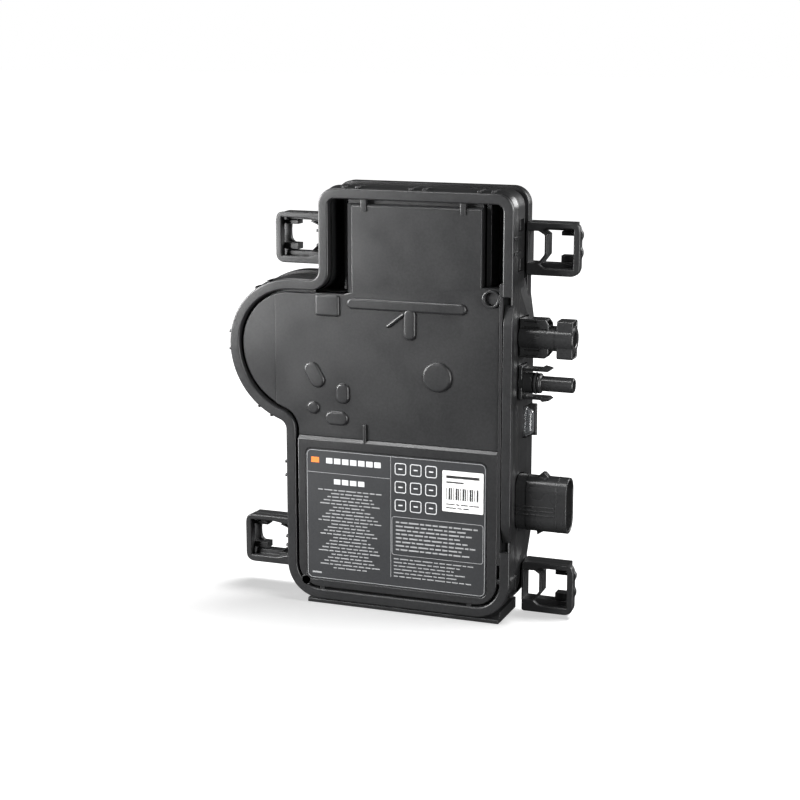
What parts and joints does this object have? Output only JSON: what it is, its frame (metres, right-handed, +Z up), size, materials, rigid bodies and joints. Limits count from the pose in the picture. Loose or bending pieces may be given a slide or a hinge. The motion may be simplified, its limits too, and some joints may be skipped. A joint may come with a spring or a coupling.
{
  "type": "micro inverter",
  "caption": "Flat moulded power converter that hangs behind a solar panel by four ears, with a round bulge, two DC connectors, an oval AC connector and a status lens.",
  "frame": {"origin": "middle of the unit's bounding box, on the underside of its foot", "axes": "+Z up along the long side, -Y out of the front cover, +X along the connectors; the round bulge is on -X"},
  "size_m": [0.1786, 0.0306, 0.212],
  "materials": {
    "enclosure_plastic": "fine moulded texture, soft sheen, dark grey",
    "connector_plastic": "smooth moulded, near black",
    "carrier_plastic": "smooth moulded",
    "plug_cap_plastic": "smooth moulded, mid grey",
    "seal_rubber": "matt",
    "label_film": "printed film, satin",
    "sticker_paper": "printed white film",
    "contact_metal": "tin plated",
    "clear_plastic": "clear moulded plastic",
    "board_laminate": "solder mask",
    "spreader_aluminium": "rolled sheet",
    "pad_silicone": "soft, matt",
    "ferrite": "sintered, matt",
    "copper": "bright copper",
    "capacitor_sleeve": "shrink sleeve",
    "chip_epoxy": "moulded epoxy",
    "film_case": "dipped case",
    "relay_case": "moulded case",
    "fuse_ceramic": "glazed"
  },
  "bodies": {
    "unit": {"rear_housing": "enclosure_plastic", "front_cover": "enclosure_plastic", "perimeter_seal": "seal_rubber", "label_plate": "label_film", "code_sticker": "sticker_paper", "upper_fill_plug": "plug_cap_plastic", "lower_fill_plug": "plug_cap_plastic", "mounting_ear_upper_right": "enclosure_plastic", "mounting_ear_lower_right": "enclosure_plastic", "mounting_ear_upper_left": "enclosure_plastic", "mounting_ear_lower_left": "enclosure_plastic", "dc_receptacle_body": "connector_plastic", "dc_receptacle_contact": "contact_metal", "dc_plug_body": "connector_plastic", "dc_plug_pin": "contact_metal", "dc_plug_o_ring": "seal_rubber", "ac_hood": "connector_plastic", "ac_contact_carrier": "carrier_plastic", "ac_contact_pin_1": "contact_metal", "ac_contact_pin_2": "contact_metal", "ac_contact_pin_3": "contact_metal", "ac_seal_ring": "seal_rubber", "status_lens": "clear_plastic", "status_lens_guard": "connector_plastic", "status_light_guide": "clear_plastic", "status_lamp": "clear_plastic", "circuit_board": "board_laminate", "heat_spreader": "spreader_aluminium", "thermal_pad": "pad_silicone", "transformer_core": "ferrite", "transformer_winding": "copper", "choke_core": "ferrite", "choke_winding_1": "copper", "choke_winding_2": "copper", "output_inductor": "ferrite", "input_capacitor_1": "capacitor_sleeve", "input_capacitor_2": "capacitor_sleeve", "input_capacitor_3": "capacitor_sleeve", "input_capacitor_4": "capacitor_sleeve", "dc_switch_1": "chip_epoxy", "dc_switch_2": "chip_epoxy", "dc_switch_3": "chip_epoxy", "dc_switch_4": "chip_epoxy", "ac_switch_1": "chip_epoxy", "ac_switch_2": "chip_epoxy", "film_capacitor": "film_case", "control_chip": "chip_epoxy", "grid_relay": "relay_case", "ac_fuse": "fuse_ceramic", "dc_link_1": "copper", "dc_link_2": "copper", "ac_link_1": "copper", "ac_link_2": "copper", "ac_link_3": "copper"},
    "latch_upper": {"dc_plug_latch_upper": "connector_plastic"},
    "latch_lower": {"dc_plug_latch_lower": "connector_plastic"}
  },
  "joints": [
    {"name": "latch_upper_flex", "type": "hinge", "parent": "unit", "child": "latch_upper", "pos_m": [0.0645, 0.0002, 0.1257], "axis": [0, 1, 0], "range_deg": [0, 5], "stiffness_Nm_per_rad": 0.3},
    {"name": "latch_lower_flex", "type": "hinge", "parent": "unit", "child": "latch_lower", "pos_m": [0.0645, 0.0002, 0.1119], "axis": [0, 1, 0], "range_deg": [-5, 0], "stiffness_Nm_per_rad": 0.3}
  ]
}
